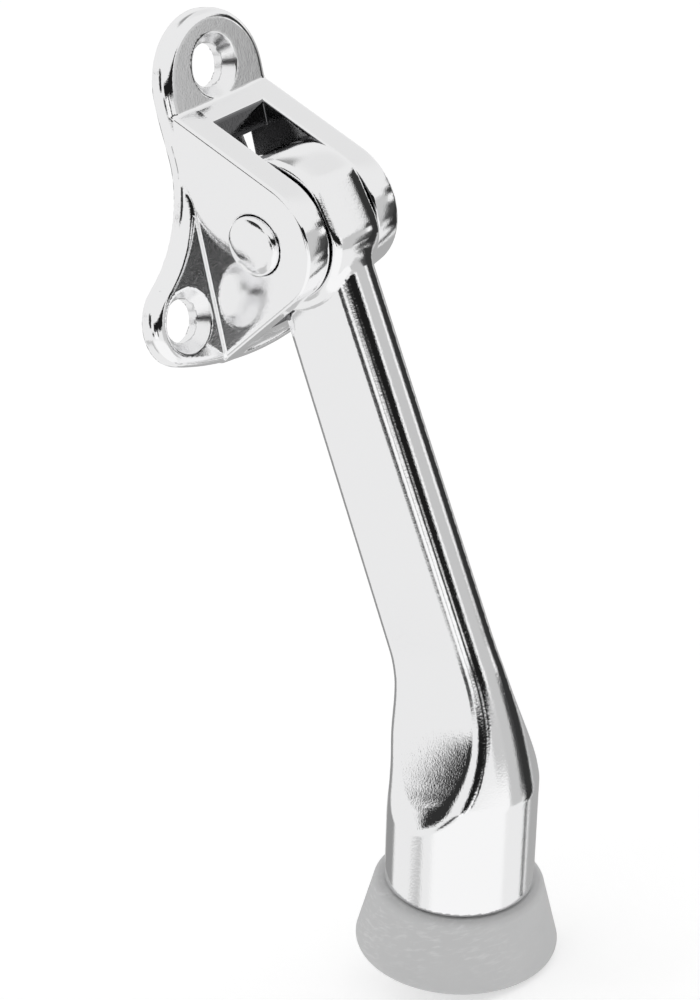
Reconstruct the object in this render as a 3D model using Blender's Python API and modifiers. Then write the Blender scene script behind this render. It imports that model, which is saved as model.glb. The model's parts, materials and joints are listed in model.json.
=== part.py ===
"""Kick-down floor door holder: a cast lever with a rubber tip, hinged in a cast bracket.

Metres, +Z up, +Y into the door, X along the hinge. The origin is on the bracket's mounting face, on
the centreline, between the top screw hole and the spring's recess. The lever is modelled hanging
down, against its lower stop.
"""

import math

import bmesh
import bpy
from mathutils import Matrix, Vector

MM = 0.001

# Bracket. Heights are from the origin and depths from the mounting face, in millimetres.
PIVOT_Y = -12.15
PIVOT_Z = -16.5
FLANGE_THICKNESS = 2.9
FLANGE_RIM = 0.95
HALF_WIDTH = 9.2
FLUSH = 0.05
TOP_LOBE_Z = 2.6
TOP_HOLE_Z = 4.8
LOW_HOLE_X = 14.45
LOW_HOLE_Z = -25.25
LOW_LOBE_RADIUS = 6.0
WAIST_RADIUS = 16.8
WAIST_Z = -5.5
BOTTOM_RADIUS = 50.0
SCREW_HOLE_RADIUS = 2.88
COUNTERSINK_RADIUS = 4.2
COUNTERSINK_HALF_ANGLE = math.radians(41)
NOSE_RADIUS = 9.0
TOP_SLOPE = math.radians(33.6)
BOTTOM_SLOPE = math.radians(30.4)
CHEEK_EDGE = 0.45
SLOT_HALF_WIDTH = 4.87
WEB_FRONT_Y = -5.35
WEB_UNDERSIDE_Z = -4.7
STOP_FRONT_Y = -7.85
STOP_TOP_Z = -28.4
RECESS_HALF_WIDTH = 7.2
RECESS_DEPTH = 2.05
RECESS_TOP_Z = -2.3
RECESS_BOTTOM_Z = -29.5
BEYOND = 20.0

# Pivot pin
PIN_RADIUS = 4.0
PIN_PROUD = 1.0
PIN_EDGE = 0.7
PIN_CLEARANCE = 0.25

# Detent spring
SPRING_HALF_WIDTH = 4.4
SPRING_THICKNESS = 0.6
SPRING_SEAT_Y = -0.65
SPRING_CREST_Y = -2.9
SPRING_HALF_SPAN = 9.0
SPRING_HALF_LENGTH = 13.2
SPRING_MIDDLE_Z = -15.9

# Lever. Depths and heights are from the pivot.
HUB_HALF_WIDTH = 4.5
HUB_RADIUS = 9.7
HUB_CROWN = 0.6
HUB_EDGE = 0.25
DOWN_FLAT = 8.6
UP_FLAT = 9.75
UP_ANGLE = math.radians(160)
ARM_LEAN = math.radians(7.9)
ARM_START_Y = -1.43
ARM_TOP_RADIUS = 6.9
ARM_LOW_RADIUS = 7.55
ARM_STRAIGHT_END_Z = -64.0
BEND_Y = -11.08
BEND_Z = -69.53
BEND_RADIUS = 8.5
FOOT_LEAN = math.radians(-16.2)
FOOT_END_Y = -4.25
FOOT_END_Z = -93.05
FOOT_RADIUS = 10.15
FOOT_LENGTH = 16.5
FLAT_HALF_WIDTH = 3.8
FLAT_STRAIGHT_END_Z = -62.0
RUN_OUT_RADIUS = 30.0
RUN_OUT_ANGLE = math.radians(45)
STUD_RADIUS = 4.0
STUD_HEAD_RADIUS = 5.4
STUD_NECK = 3.4
STUD_STEP = 0.4
STUD_LEAD = 0.6
STUD_LENGTH = 6.6

# Rubber tip. Distances run along the foot's axis, from the end of the foot.
TIP_GAP = 0.3
TIP_SHOULDER_RADIUS = 11.7
TIP_SHOULDER = 0.9
TIP_WIDEST_RADIUS = 13.8
TIP_EDGE = 0.8
TIP_FLANK = math.radians(8)
TIP_HEIGHT = 10.3

# Faceting
ROUND_STEPS = 48
HUB_STEPS = 72
STUD_STEPS = 32
CROWN_STEPS = 8
ARM_STEPS = 4
FLARE_STEPS = 6
ARC_STEP = math.radians(10)

CHROME = (0.80, 0.81, 0.82)
SPRING_STEEL = (0.42, 0.42, 0.43)
RUBBER = (0.46, 0.46, 0.46)


def arc(centre, radius, start, end):
    """Points along an arc in the plane, with both its ends."""
    steps = max(2, math.ceil(abs(end - start) / ARC_STEP))
    angles = [start + (end - start) * i / steps for i in range(steps + 1)]
    return [(centre[0] + radius * math.cos(a), centre[1] + radius * math.sin(a)) for a in angles]


def mirrored(outline):
    """The other half of an outline that runs from top to bottom on the +X side."""
    return [(-x, z) for x, z in reversed(outline) if x > 1e-6]


def clear_scene():
    for obj in list(bpy.data.objects):
        bpy.data.objects.remove(obj, do_unlink=True)


def new_collection(name):
    collection = bpy.data.collections.new(name)
    bpy.context.scene.collection.children.link(collection)
    return collection


def new_material(name, colour, metallic, roughness):
    material = bpy.data.materials.new(name)
    material.use_nodes = True
    shader = material.node_tree.nodes["Principled BSDF"]
    shader.inputs["Base Color"].default_value = (*colour, 1.0)
    shader.inputs["Metallic"].default_value = metallic
    shader.inputs["Roughness"].default_value = roughness
    return material


def add_object(name, mesh, collection):
    obj = bpy.data.objects.new(name, mesh)
    collection.objects.link(obj)
    return obj


def as_cutter(obj):
    obj.hide_render = True
    obj.display_type = "WIRE"
    return obj


def evaluated_mesh(obj):
    """The object's mesh with its modifiers applied and its loose caps welded. The object is removed."""
    bpy.context.view_layer.update()
    graph = bpy.context.evaluated_depsgraph_get()
    mesh = bpy.data.meshes.new_from_object(obj.evaluated_get(graph))
    mesh.transform(obj.matrix_world)
    bpy.data.objects.remove(obj, do_unlink=True)
    work = bmesh.new()
    work.from_mesh(mesh)
    bmesh.ops.remove_doubles(work, verts=work.verts, dist=1e-7)
    bmesh.ops.recalc_face_normals(work, faces=work.faces)
    work.to_mesh(mesh)
    work.free()
    return mesh


def extruded(name, outline, low, high, axis, collection):
    """A flat outline, in millimetres, extruded along X (outline in Y, Z) or along Y (outline in X, Z)."""
    curve = bpy.data.curves.new(name, "CURVE")
    curve.dimensions = "2D"
    curve.fill_mode = "BOTH"
    curve.extrude = (high - low) / 2 * MM
    spline = curve.splines.new("POLY")
    spline.points.add(len(outline) - 1)
    for point, (u, v) in zip(spline.points, outline):
        point.co = (u * MM, v * MM, 0, 1)
    spline.use_cyclic_u = True
    flat = add_object(name, curve, collection)
    middle = (low + high) / 2 * MM
    if axis == "X":
        flat.matrix_world = Matrix(((0, 0, 1, middle), (1, 0, 0, 0), (0, 1, 0, 0), (0, 0, 0, 1)))
    else:
        flat.matrix_world = Matrix(((1, 0, 0, 0), (0, 0, -1, middle), (0, 1, 0, 0), (0, 0, 0, 1)))
    return add_object(name, evaluated_mesh(flat), collection)


def turned(name, profile, collection, steps=ROUND_STEPS):
    """A profile of (radius, height) points in millimetres, top to bottom, turned round Z."""
    mesh = bpy.data.meshes.new(name)
    points = [(radius * MM, 0, height * MM) for radius, height in profile]
    mesh.from_pydata(points, [(i, i + 1) for i in range(len(points) - 1)], [])
    blank = add_object(name, mesh, collection)
    screw = blank.modifiers.new("turn", "SCREW")
    screw.steps = steps
    screw.render_steps = steps
    screw.use_merge_vertices = True
    screw.merge_threshold = 1e-6
    return add_object(name, evaluated_mesh(blank), collection)


def place(obj, matrix):
    """Moves the mesh itself, so that the object stays at its parent's origin."""
    obj.data.transform(matrix)
    return obj


def along_x(obj):
    return place(obj, Matrix.Rotation(math.radians(90), 4, "Y"))


def along_y(obj, x, z):
    """Turns a piece's top towards -Y and moves its axis to x, z, in millimetres."""
    forward = Matrix.Rotation(math.radians(90), 4, "X")
    return place(obj, Matrix.Translation((x * MM, 0, z * MM)) @ forward)


def round_edges(obj, width, chosen, segments=3):
    """Bevels the edges whose two ends both satisfy chosen(point), with the point in millimetres."""
    work = bmesh.new()
    work.from_mesh(obj.data)
    edges = [
        edge
        for edge in work.edges
        if all(chosen(end.co / MM) for end in edge.verts) and edge.calc_face_angle(0) > math.radians(40)
    ]
    bmesh.ops.bevel(
        work,
        geom=edges,
        offset=width * MM,
        segments=segments,
        profile=0.5,
        affect="EDGES",
        clamp_overlap=True,
    )
    work.to_mesh(obj.data)
    work.free()


def combine(obj, other, operation):
    modifier = obj.modifiers.new(other.name, "BOOLEAN")
    modifier.operation = operation
    modifier.solver = "EXACT"
    modifier.object = other


def finish_piece(obj, material):
    """Applies the piece's Booleans and gives it its material and smooth shading."""
    name = obj.name
    collection = obj.users_collection[0]
    mesh = evaluated_mesh(obj)
    mesh.materials.clear()
    mesh.materials.append(material)
    mesh.shade_smooth()
    mesh.set_sharp_from_angle(angle=math.radians(30))
    piece = add_object(name, mesh, collection)
    mesh.name = name
    return piece


def flange_outline():
    """Half of the flange, from top to bottom: the top lobe, the waist, a lower lobe and the bottom."""
    waist_centre = (HALF_WIDTH - 2 * FLUSH + WAIST_RADIUS, WAIST_Z)
    lobe = (LOW_HOLE_X, LOW_HOLE_Z)
    tangent = math.atan2(lobe[1] - waist_centre[1], lobe[0] - waist_centre[0])
    bottom_drop = math.sqrt((BOTTOM_RADIUS - LOW_LOBE_RADIUS) ** 2 - LOW_HOLE_X**2)
    bottom_centre = (0, LOW_HOLE_Z + bottom_drop)
    bottom_angle = math.atan2(lobe[1] - bottom_centre[1], lobe[0] - bottom_centre[0])
    half = arc((0, TOP_LOBE_Z), HALF_WIDTH - 2 * FLUSH, math.radians(90), 0)
    half += arc(waist_centre, WAIST_RADIUS, math.radians(180), tangent + 2 * math.pi)
    half += arc(lobe, LOW_LOBE_RADIUS, tangent + math.pi, bottom_angle)
    half += arc(bottom_centre, BOTTOM_RADIUS, bottom_angle, math.radians(-90))[1:]
    return half


def body_outline():
    """The cheeks' side view in Y, Z: a round nose about the pivot and straight edges to the flange."""
    top_angle = math.pi / 2 + TOP_SLOPE
    bottom_angle = 3 * math.pi / 2 - BOTTOM_SLOPE
    nose = arc((PIVOT_Y, PIVOT_Z), NOSE_RADIUS, top_angle, bottom_angle)
    inside = -FLANGE_THICKNESS / 2
    top_z = nose[0][1] + (inside - nose[0][0]) * math.tan(TOP_SLOPE)
    bottom_z = nose[-1][1] - (inside - nose[-1][0]) * math.tan(BOTTOM_SLOPE)
    return [(inside, top_z)] + nose + [(inside, bottom_z)]


def screw_hole_cutter(name, x, z, collection):
    """A countersunk screw hole, open past both faces of the flange."""
    spill = 1.0
    slope = math.tan(COUNTERSINK_HALF_ANGLE)
    cone_depth = (COUNTERSINK_RADIUS - SCREW_HOLE_RADIUS) / slope
    profile = [
        (0, FLANGE_THICKNESS + spill),
        (COUNTERSINK_RADIUS + spill * slope, FLANGE_THICKNESS + spill),
        (SCREW_HOLE_RADIUS, FLANGE_THICKNESS - cone_depth),
        (SCREW_HOLE_RADIUS, -spill),
        (0, -spill),
    ]
    return as_cutter(along_y(turned(name, profile, collection), x, z))


def pin_hole_cutter(name, radius, half_length, collection):
    profile = [(0, half_length), (radius, half_length), (radius, -half_length), (0, -half_length)]
    return as_cutter(along_x(turned(name, profile, collection)))


def slot_outline():
    """Side view in Y, Z of the space between the cheeks, with the window through the flange."""
    front = PIVOT_Y - BEYOND
    top = PIVOT_Z + 2 * BEYOND
    bottom = PIVOT_Z - 2 * BEYOND
    above = [(front, top), (WEB_FRONT_Y, top), (WEB_FRONT_Y, WEB_UNDERSIDE_Z)]
    window = [(BEYOND, WEB_UNDERSIDE_Z), (BEYOND, STOP_TOP_Z)]
    below = [(STOP_FRONT_Y, STOP_TOP_Z), (STOP_FRONT_Y, bottom), (front, bottom)]
    return above + window + below


def recess_outline():
    """Side view in Y, Z of the shallow recess in the bracket's back that seats the spring."""
    return [
        (-RECESS_DEPTH, RECESS_TOP_Z),
        (BEYOND, RECESS_TOP_Z),
        (BEYOND, RECESS_BOTTOM_Z),
        (-RECESS_DEPTH, RECESS_BOTTOM_Z),
    ]


def cut_across(obj, name, outline, half_width, collection):
    """Cuts an outline in Y, Z out of the object, this far to each side of the centreline."""
    cutter = extruded(name, outline, -half_width, half_width, "X", collection)
    combine(obj, as_cutter(cutter), "DIFFERENCE")


def make_bracket(parts, cutters, chrome):
    touching = 0.01
    half = flange_outline()
    flange = extruded("bracket", half + mirrored(half), -FLANGE_THICKNESS, 0, "Y", parts)
    round_edges(flange, FLANGE_RIM, lambda p: p.y < touching - FLANGE_THICKNESS, segments=4)
    body = extruded("body_blank", body_outline(), -HALF_WIDTH, HALF_WIDTH, "X", cutters)
    round_edges(body, CHEEK_EDGE, lambda p: abs(p.x) > HALF_WIDTH - touching, segments=2)
    bore = PIN_RADIUS + PIN_CLEARANCE
    pin_hole = pin_hole_cutter("bracket_pin_cutter", bore, 2 * HALF_WIDTH, cutters)
    place(pin_hole, Matrix.Translation((0, PIVOT_Y * MM, PIVOT_Z * MM)))
    combine(body, pin_hole, "DIFFERENCE")
    combine(flange, as_cutter(body), "UNION")
    cut_across(flange, "slot_cutter", slot_outline(), SLOT_HALF_WIDTH, cutters)
    cut_across(flange, "recess_cutter", recess_outline(), RECESS_HALF_WIDTH, cutters)
    combine(flange, screw_hole_cutter("top_hole_cutter", 0, TOP_HOLE_Z, cutters), "DIFFERENCE")
    for side, label in ((-1, "left"), (1, "right")):
        hole = screw_hole_cutter(label + "_hole_cutter", side * LOW_HOLE_X, LOW_HOLE_Z, cutters)
        combine(flange, hole, "DIFFERENCE")
    return finish_piece(flange, chrome)


def make_pin(parts, pivot, chrome):
    end = HALF_WIDTH + PIN_PROUD
    edge = arc((PIN_RADIUS - PIN_EDGE, end - PIN_EDGE), PIN_EDGE, math.radians(90), 0)
    lower = [(radius, -height) for radius, height in reversed(edge)]
    pin = along_x(turned("pivot_pin", [(0, end)] + edge + lower + [(0, -end)], parts))
    return finish_pivoted(pin, pivot, chrome)


def finish_pivoted(obj, pivot, material):
    """Finishes a piece that was modelled round the pivot, and parents it there."""
    piece = finish_piece(obj, material)
    piece.parent = pivot
    return piece


def spring_outline():
    """Side view of the leaf in Y, Z: two flat ends and a crest that bows towards the hub."""
    rise = SPRING_SEAT_Y - SPRING_CREST_Y
    radius = (SPRING_HALF_SPAN**2 + rise**2) / (2 * rise)
    half_angle = math.asin(SPRING_HALF_SPAN / radius)
    centre = (SPRING_CREST_Y + radius, SPRING_MIDDLE_Z)
    top, bottom = SPRING_MIDDLE_Z + SPRING_HALF_LENGTH, SPRING_MIDDLE_Z - SPRING_HALF_LENGTH
    half = SPRING_THICKNESS / 2
    front = arc(centre, radius + half, math.pi - half_angle, math.pi + half_angle)
    back = arc(centre, radius - half, math.pi + half_angle, math.pi - half_angle)
    front_y, back_y = SPRING_SEAT_Y - half, SPRING_SEAT_Y + half
    knee = SPRING_HALF_SPAN + SPRING_THICKNESS
    front[0], front[-1] = (front_y, SPRING_MIDDLE_Z + knee), (front_y, SPRING_MIDDLE_Z - knee)
    back[0], back[-1] = (back_y, SPRING_MIDDLE_Z - knee), (back_y, SPRING_MIDDLE_Z + knee)
    return [(front_y, top)] + front + [(front_y, bottom), (back_y, bottom)] + back + [(back_y, top)]


def make_spring(parts, steel):
    half = SPRING_HALF_WIDTH
    spring = extruded("detent_spring", spring_outline(), -half, half, "X", parts)
    return finish_piece(spring, steel)


def hub_profile():
    """Half-section of the hub about the hinge axis: crowned between two flat sides."""
    widths = [HUB_HALF_WIDTH * (1 - 2 * i / CROWN_STEPS) for i in range(CROWN_STEPS + 1)]
    rim = [(HUB_RADIUS + HUB_CROWN * (1 - (x / HUB_HALF_WIDTH) ** 2), x) for x in widths]
    rim[0] = (rim[0][0], HUB_HALF_WIDTH - HUB_EDGE)
    rim[-1] = (rim[-1][0], HUB_EDGE - HUB_HALF_WIDTH)
    face = HUB_RADIUS - HUB_EDGE
    top = [(0, HUB_HALF_WIDTH), (face, HUB_HALF_WIDTH)]
    bottom = [(face, -HUB_HALF_WIDTH), (0, -HUB_HALF_WIDTH)]
    return top + rim + bottom


def arm_stations():
    """Centre (y, z), radius and lean of each round section, from the hub to the foot's end."""
    stations = []
    for i in range(ARM_STEPS + 1):
        share = i / ARM_STEPS
        z = ARM_STRAIGHT_END_Z * share
        radius = ARM_TOP_RADIUS + (ARM_LOW_RADIUS - ARM_TOP_RADIUS) * share
        stations.append((ARM_START_Y + z * math.tan(ARM_LEAN), z, radius, ARM_LEAN))
    stations.append((BEND_Y, BEND_Z, BEND_RADIUS, (ARM_LEAN + FOOT_LEAN) / 2))
    up_y, up_z = math.sin(FOOT_LEAN), math.cos(FOOT_LEAN)
    for distance in (FOOT_LENGTH, 0):
        centre_y, centre_z = FOOT_END_Y + up_y * distance, FOOT_END_Z + up_z * distance
        stations.append((centre_y, centre_z, FOOT_RADIUS, FOOT_LEAN))
    return stations


def eased(stations):
    """Smooth in-between stations over the flare between the arm and the foot."""
    smooth = stations[:ARM_STEPS]
    flare = stations[ARM_STEPS : ARM_STEPS + 3]
    for i in range(FLARE_STEPS + 1):
        t = i / FLARE_STEPS
        weights = ((1 - t) ** 2, 2 * t * (1 - t), t**2)
        smooth.append(tuple(sum(w * s[k] for w, s in zip(weights, flare)) for k in range(4)))
    return smooth + stations[ARM_STEPS + 3 :]


def make_arm(collection):
    """The tapered round bar from inside the hub to the end of the foot, lofted through its stations."""
    work = bmesh.new()
    rings = []
    for y, z, radius, lean in eased(arm_stations()):
        ring = []
        for i in range(ROUND_STEPS):
            angle = 2 * math.pi * i / ROUND_STEPS
            out = radius * math.sin(angle)
            across = radius * math.cos(angle)
            point = Vector((across, y + out * math.cos(lean), z - out * math.sin(lean)))
            ring.append(work.verts.new(point * MM))
        rings.append(ring)
    for upper, lower in zip(rings, rings[1:]):
        for i in range(ROUND_STEPS):
            j = (i + 1) % ROUND_STEPS
            work.faces.new((upper[i], upper[j], lower[j], lower[i]))
    work.faces.new(rings[0])
    work.faces.new(list(reversed(rings[-1])))
    bmesh.ops.recalc_face_normals(work, faces=work.faces)
    mesh = bpy.data.meshes.new("arm_blank")
    work.to_mesh(mesh)
    work.free()
    return add_object("arm_blank", mesh, collection)


def flat_outline():
    """Front view in X, Z of what is milled off one side: a flat that runs out over the foot."""
    centre = (FLAT_HALF_WIDTH + RUN_OUT_RADIUS, FLAT_STRAIGHT_END_Z)
    run_out = arc(centre, RUN_OUT_RADIUS, math.pi, math.pi + RUN_OUT_ANGLE)
    return [(BEYOND, BEYOND), (FLAT_HALF_WIDTH, BEYOND)] + run_out + [(BEYOND, run_out[-1][1])]


def half_space(name, distance, angle, collection):
    """A block whose face is a flat on the hub, at this distance from the pivot and angle above +Y."""
    far = distance + BEYOND
    outline = [(distance, -BEYOND), (far, -BEYOND), (far, BEYOND), (distance, BEYOND)]
    block = extruded(name, outline, -2 * HUB_HALF_WIDTH, 2 * HUB_HALF_WIDTH, "X", collection)
    return as_cutter(place(block, Matrix.Rotation(angle, 4, "X")))


def stud_profile():
    """The stud under the foot that holds the rubber tip: a neck and a wider head."""
    root = 1.0
    return [
        (0, root),
        (STUD_RADIUS, root),
        (STUD_RADIUS, -STUD_NECK),
        (STUD_HEAD_RADIUS, -STUD_NECK - STUD_STEP),
        (STUD_HEAD_RADIUS, STUD_LEAD - STUD_LENGTH),
        (STUD_HEAD_RADIUS - STUD_LEAD, -STUD_LENGTH),
        (0, -STUD_LENGTH),
    ]


def foot_matrix():
    """Takes a piece turned round Z, with its height from the foot's end, to the foot's own axis."""
    shift = Matrix.Translation((0, FOOT_END_Y * MM, FOOT_END_Z * MM))
    return shift @ Matrix.Rotation(-FOOT_LEAN, 4, "X")


def make_lever(parts, cutters, pivot, chrome):
    arm = make_arm(cutters)
    for side in (1, -1):
        outline = [(side * x, z) for x, z in flat_outline()]
        cutter = extruded(f"flat_cutter_{side}", outline, -2 * BEYOND, BEYOND, "Y", cutters)
        combine(arm, as_cutter(cutter), "DIFFERENCE")
    lever = along_x(turned("lever", hub_profile(), parts, steps=HUB_STEPS))
    combine(lever, half_space("down_flat_cutter", DOWN_FLAT, 0, cutters), "DIFFERENCE")
    combine(lever, half_space("up_flat_cutter", UP_FLAT, UP_ANGLE, cutters), "DIFFERENCE")
    combine(lever, as_cutter(arm), "UNION")
    stud = turned("stud_blank", stud_profile(), cutters, steps=STUD_STEPS)
    place(stud, foot_matrix())
    combine(lever, as_cutter(stud), "UNION")
    bore = PIN_RADIUS + PIN_CLEARANCE
    hole = pin_hole_cutter("lever_pin_cutter", bore, 2 * HUB_HALF_WIDTH, cutters)
    combine(lever, hole, "DIFFERENCE")
    return finish_pivoted(lever, pivot, chrome)


def tip_profile():
    """Section of the rubber tip from its mouth, round the outside, to the middle of its underside."""
    shoulder_centre = (TIP_SHOULDER_RADIUS - TIP_SHOULDER, -TIP_GAP - TIP_SHOULDER)
    edge_centre = (TIP_WIDEST_RADIUS - TIP_EDGE, TIP_EDGE - TIP_HEIGHT)
    shoulder = arc(shoulder_centre, TIP_SHOULDER, math.radians(90), TIP_FLANK)
    edge = arc(edge_centre, TIP_EDGE, TIP_FLANK, math.radians(-90))
    return [(0, -TIP_GAP)] + shoulder + edge + [(0, -TIP_HEIGHT)]


def socket_profile():
    """Section of the socket in the rubber tip, a gap wider than the stud all round."""
    spill = 1.0
    neck = STUD_RADIUS + TIP_GAP
    head = STUD_HEAD_RADIUS + TIP_GAP
    floor = -STUD_LENGTH - TIP_GAP
    throat = [(neck, spill - TIP_GAP), (neck, STUD_STEP - STUD_NECK), (head, -STUD_NECK)]
    return [(0, spill - TIP_GAP)] + throat + [(head, floor), (0, floor)]


def make_tip(parts, cutters, pivot, rubber):
    tip = place(turned("rubber_tip", tip_profile(), parts), foot_matrix())
    socket = turned("socket_cutter", socket_profile(), cutters, steps=STUD_STEPS)
    place(socket, foot_matrix())
    combine(tip, as_cutter(socket), "DIFFERENCE")
    return finish_pivoted(tip, pivot, rubber)


def main():
    clear_scene()
    parts = new_collection("floor_door_holder")
    cutters = new_collection("cutters")
    chrome = new_material("chrome", CHROME, 1.0, 0.08)
    steel = new_material("spring_steel", SPRING_STEEL, 1.0, 0.3)
    rubber = new_material("rubber", RUBBER, 0.0, 0.6)
    pivot = add_object("pivot", None, parts)
    pivot.location = Vector((0, PIVOT_Y, PIVOT_Z)) * MM
    make_bracket(parts, cutters, chrome)
    make_spring(parts, steel)
    make_pin(parts, pivot, chrome)
    make_lever(parts, cutters, pivot, chrome)
    make_tip(parts, cutters, pivot, rubber)


main()
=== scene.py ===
"""Looks for the kick-down floor door holder: polished chrome castings, a spring strip, a grey rubber tip.

The two castings and the spring are smooth distance fields, turned into fine meshes whose normals come from
the field, so that the chrome reflects cleanly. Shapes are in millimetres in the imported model's frame: X runs
along the hinge, +Y into the door and +Z up, with the origin on the bracket's mounting face.
"""

import json
import math

import bmesh
import bpy
import numpy as np
from mathutils import Matrix, Vector


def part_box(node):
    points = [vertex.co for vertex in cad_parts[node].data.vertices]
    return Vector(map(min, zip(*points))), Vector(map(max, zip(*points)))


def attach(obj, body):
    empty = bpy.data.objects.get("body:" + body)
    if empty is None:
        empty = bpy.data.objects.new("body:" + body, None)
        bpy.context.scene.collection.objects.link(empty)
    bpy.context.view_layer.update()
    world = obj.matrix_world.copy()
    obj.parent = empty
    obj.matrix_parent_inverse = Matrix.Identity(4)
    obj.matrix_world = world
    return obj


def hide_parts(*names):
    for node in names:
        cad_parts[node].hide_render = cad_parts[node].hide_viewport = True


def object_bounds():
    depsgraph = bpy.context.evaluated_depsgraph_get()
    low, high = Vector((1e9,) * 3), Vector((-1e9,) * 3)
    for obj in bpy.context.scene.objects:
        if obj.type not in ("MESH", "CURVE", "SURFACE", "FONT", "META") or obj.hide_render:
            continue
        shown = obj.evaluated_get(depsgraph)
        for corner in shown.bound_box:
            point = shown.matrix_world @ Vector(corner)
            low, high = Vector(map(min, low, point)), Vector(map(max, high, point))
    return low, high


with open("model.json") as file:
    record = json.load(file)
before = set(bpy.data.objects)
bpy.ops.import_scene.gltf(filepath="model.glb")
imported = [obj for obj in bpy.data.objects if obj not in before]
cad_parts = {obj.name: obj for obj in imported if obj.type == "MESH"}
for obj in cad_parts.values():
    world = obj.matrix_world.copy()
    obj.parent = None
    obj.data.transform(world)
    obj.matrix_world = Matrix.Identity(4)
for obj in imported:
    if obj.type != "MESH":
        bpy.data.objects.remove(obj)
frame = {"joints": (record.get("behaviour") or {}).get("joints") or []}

CAD_BOUNDS = [list(corner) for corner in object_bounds()]
MM = 0.001
HINGE = Vector(frame["joints"][0]["pos_m"]) / MM
PIVOT_Y, PIVOT_Z = HINGE.y, HINGE.z

# Camera: where it looks from, as angles round the object, and how far it is turned about its own axis.
CAMERA_TARGET = (-5.73, -16.15, -52.49)
CAMERA_AZIMUTH = math.radians(-46.54)
CAMERA_ELEVATION = math.radians(18.22)
CAMERA_DISTANCE = 510.0
CAMERA_ROLL = math.radians(-11.74)
CAMERA_LENS = 140.75

# Bracket. The flange spreads by FLANGE_SPREAD between two heights, below its upper lobe.
FLANGE_THICKNESS = 2.9
FLANGE_SPREAD = 0.45
SPREAD_START_Z = -7.0
SPREAD_END_Z = 2.0
FLANGE_EDGE = 1.4
BACK_EDGE = 0.35
FLANGE_HALF_WIDTH = 9.1
TOP_LOBE_Z = 2.6
TOP_HOLE_Z = 4.8
LOW_HOLE_X = 14.45
LOW_HOLE_Z = -25.25
LOW_LOBE_RADIUS = 6.0
WAIST_RADIUS = 16.8
WAIST_Z = -5.5
BOTTOM_RADIUS = 50.0
SCREW_HOLE_RADIUS = 2.88
SCREW_HOLE_EDGE = 0.15
COUNTERSINK_RADIUS = 4.2
COUNTERSINK_HALF_ANGLE = math.radians(41)
CHEEK_HALF_WIDTH = 9.2
NOSE_RADIUS = 9.0
TOP_SLOPE = math.radians(33.6)
BOTTOM_SLOPE = math.radians(30.4)
CHEEK_EDGE = 0.4
CHEEK_FILLET = 0.25
CHEEK_CROWN = 0.1
SLOT_HALF_WIDTH = 4.87
SLOT_EDGE = 0.3
WEB_FRONT_Y = -5.35
WEB_UNDERSIDE_Z = -4.7
STOP_FRONT_Y = -7.85
STOP_TOP_Z = -28.4
RECESS_HALF_WIDTH = 7.2
RECESS_DEPTH = 2.05
RECESS_EDGE = 0.2
RECESS_TOP_Z = -2.3
RECESS_BOTTOM_Z = -29.5
PIN_RADIUS = 4.0
PIN_CLEARANCE = 0.25
PIN_HOLE_EDGE = 0.2
PIN_PROUD = 1.0
PIN_DOME = 0.12
PIN_DOME_SHARE = 0.8
PIN_RIM = 0.55
PIN_BEVEL = 0.2
PIN_MIDDLE = 0.2

# Lever, from the pivot. The flare and the fill behind the bend are placed by how far up the bar they are,
# from its foot's end. A soft value is how much of the flare's length a turn in it takes.
HUB_HALF_WIDTH = 4.5
HUB_RADIUS = 10.2
HUB_CROWN = 0.5
HUB_EDGE = 0.8
HUB_FLAT_EDGE = 0.4
HUB_FILLET = 0.8
DOWN_FLAT = 8.6
UP_FLAT = 9.3
UP_ANGLE = math.radians(164)
ARM_LEAN = math.radians(7.9)
ARM_START_Y = -1.43
ARM_LOW_RADIUS = 7.55
ARM_TAPER = 0.0101
ARM_EDGE = 1.4
BEND_RADIUS = 36.0
FLARE_START = 31.0
FLARE_END = 16.5
FLARE_EASE = 0.48
FLARE_SOFT_START = 0.35
FLARE_SOFT_FRONT = 0.04
FLARE_SOFT_BACK = 0.6
BACK_FILL = 0.75
BACK_FILL_UP = 25.0
BACK_FILL_REACH = 11.0
FOOT_EDGE = 0.4
FOOT_LEAN = math.radians(-16.2)
FOOT_END_Y = -4.25
FOOT_END_Z = -93.05
FOOT_RADIUS = 10.15
FLAT_HALF_WIDTH = 3.8
FLAT_CROWN = 140.0
FLAT_STRAIGHT_END_Z = -62.0
RUN_OUT_RADIUS = 30.0
RUN_OUT_EASE = 12.0
RUN_OUT_REACH = 0.8

# Rubber tip, along the foot's axis from the foot's end
TIP_GAP = 0.3
TIP_SHOULDER_RADIUS = 11.7
TIP_SHOULDER = 0.9
TIP_WIDEST_RADIUS = 13.8
TIP_EDGE = 0.8
TIP_HEIGHT = 10.3
TIP_FLANK = math.radians(8)
SOCKET_RADIUS = 4.3
SOCKET_DEPTH = 6.9
SOCKET_EDGE = 0.3
TIP_TOP_RADIUS = 8.0
TIP_UNDERSIDE_RADII = (10.0, 6.0, 2.0, 0.0)

# Detent spring
SPRING_HALF_WIDTH = 4.4
SPRING_THICKNESS = 0.6
SPRING_SEAT_Y = -0.65
SPRING_CREST_Y = -2.25
SPRING_HALF_SPAN = 9.0
SPRING_HALF_LENGTH = 13.2
SPRING_MIDDLE_Z = -15.9
SPRING_KNEE = 0.3
SPRING_EDGE = 0.1

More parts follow.
